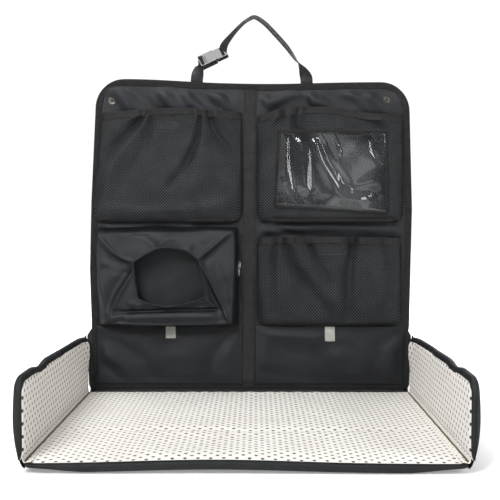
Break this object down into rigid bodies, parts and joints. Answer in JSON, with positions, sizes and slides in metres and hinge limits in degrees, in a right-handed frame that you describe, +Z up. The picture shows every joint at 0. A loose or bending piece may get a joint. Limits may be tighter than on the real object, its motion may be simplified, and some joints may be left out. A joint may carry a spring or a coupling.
{
  "type": "fold-out baby changing station with hanging organizer",
  "caption": "Padded changing mat with fold-up side wings and an upright organizer panel with net pockets, a wipes pocket and a buckled webbing hanger.",
  "frame": {"origin": "centre of the mat's underside, on the floor", "axes": "+X to the right, +Y to the back, away from the user, +Z up"},
  "size_m": [0.6736, 0.5998, 0.7739],
  "materials": {
    "black_polyester": "coated woven polyester, soft sheen",
    "black_net": "knitted diamond mesh",
    "black_tape": "ribbed grosgrain binding tape",
    "black_elastic": "ribbed elastic",
    "hook_loop": "hook-and-loop patch",
    "cream_print": "cream cotton with small dark dots",
    "foam": "open-cell foam padding",
    "stiffener_board": "stiff plastic sheet",
    "clear_vinyl": "clear flexible vinyl",
    "grey_ribbon": "satin ribbon",
    "tan_tape": "fold seam tape",
    "black_webbing": "ribbed polyester webbing",
    "buckle_plastic": "moulded acetal, semi-gloss",
    "snap_metal": "gunmetal plated snap",
    "zip_metal": "plated zipper slider"
  },
  "bodies": {
    "mat": {"mat_bottom_cover": "black_polyester", "mat_base_board": "stiffener_board", "mat_foam": "foam", "left_hinge_tape": "tan_tape", "right_hinge_tape": "tan_tape", "rear_hinge_tape": "tan_tape", "mat_top_cover": "cream_print"},
    "left_wing": {"left_wing_shell": "black_polyester", "left_wing_lining": "cream_print", "left_wing_foam": "foam", "left_wing_board": "stiffener_board"},
    "right_wing": {"right_wing_shell": "black_polyester", "right_wing_lining": "cream_print", "right_wing_foam": "foam", "right_wing_board": "stiffener_board"},
    "organizer": {"organizer_front_cover": "black_polyester", "organizer_back_cover": "black_polyester", "left_organizer_board": "stiffener_board", "right_organizer_board": "stiffener_board", "left_organizer_padding": "foam", "right_organizer_padding": "foam", "edge_binding": "black_tape", "spine_tape": "black_tape", "top_left_net_pocket": "black_net", "top_left_elastic": "black_elastic", "top_left_closure_patch": "hook_loop", "top_right_net_pocket": "black_net", "top_right_elastic": "black_elastic", "top_right_closure_patch": "hook_loop", "window_sheet": "clear_vinyl", "window_frame": "black_tape", "bottom_right_net_pocket": "black_net", "bottom_right_elastic": "black_elastic", "bottom_right_closure_patch": "hook_loop", "wipes_pocket": "black_polyester", "wipes_hole_hem": "black_polyester", "zipper_tape": "black_tape", "zipper_coil": "black_tape", "lower_left_panel": "black_polyester", "lower_right_panel": "black_polyester", "snap_sockets": "snap_metal", "snap_caps": "snap_metal", "strap_anchors": "black_webbing"},
    "zip_slider": {"zip_slider": "zip_metal"},
    "zip_pull": {"zip_pull": "zip_metal"},
    "left_tab": {"left_ribbon_tab": "grey_ribbon"},
    "right_tab": {"right_ribbon_tab": "grey_ribbon"},
    "hanger": {"short_webbing": "black_webbing", "long_webbing": "black_webbing", "buckle_socket": "buckle_plastic", "buckle_plug": "buckle_plastic"},
    "upper_prong": {"upper_release_prong": "buckle_plastic"},
    "lower_prong": {"lower_release_prong": "buckle_plastic"}
  },
  "joints": [
    {"name": "left_wing_fold", "type": "hinge", "parent": "mat", "child": "left_wing", "pos_m": [-0.3225, 0, 0.018], "axis": [0, 1, 0], "range_deg": [-90, 90]},
    {"name": "right_wing_fold", "type": "hinge", "parent": "mat", "child": "right_wing", "pos_m": [0.3225, 0, 0.018], "axis": [0, -1, 0], "range_deg": [-90, 90]},
    {"name": "organizer_fold", "type": "hinge", "parent": "mat", "child": "organizer", "pos_m": [0, 0.29, 0.018], "axis": [-1, 0, 0], "range_deg": [-66, 90]},
    {"name": "hanger_swing", "type": "hinge", "parent": "organizer", "child": "hanger", "pos_m": [0, 0.2953, 0.6426], "axis": [1, 0, 0], "range_deg": [-85, 85]},
    {"name": "zip_slide", "type": "slide", "parent": "organizer", "child": "zip_slider", "axis": [0, 0, 1], "range_m": [-0.065, 0.053]},
    {"name": "zip_pull_swing", "type": "hinge", "parent": "zip_slider", "child": "zip_pull", "pos_m": [-0.0203, 0.2837, 0.274], "axis": [-1, 0, 0], "range_deg": [0, 170]},
    {"name": "left_tab_swing", "type": "hinge", "parent": "organizer", "child": "left_tab", "pos_m": [-0.158, 0.2873, 0.1494], "axis": [-1, 0, 0], "range_deg": [0, 88]},
    {"name": "right_tab_swing", "type": "hinge", "parent": "organizer", "child": "right_tab", "pos_m": [0.163, 0.2873, 0.1494], "axis": [-1, 0, 0], "range_deg": [0, 88]},
    {"name": "upper_prong_squeeze", "type": "slide", "parent": "hanger", "child": "upper_prong", "axis": [0.3237, -0.6428, -0.6943], "range_m": [0, 0.0025], "stiffness_N_per_m": 1200},
    {"name": "lower_prong_squeeze", "type": "slide", "parent": "hanger", "child": "lower_prong", "axis": [-0.3237, 0.6428, 0.6943], "range_m": [0, 0.0025], "stiffness_N_per_m": 1200}
  ]
}
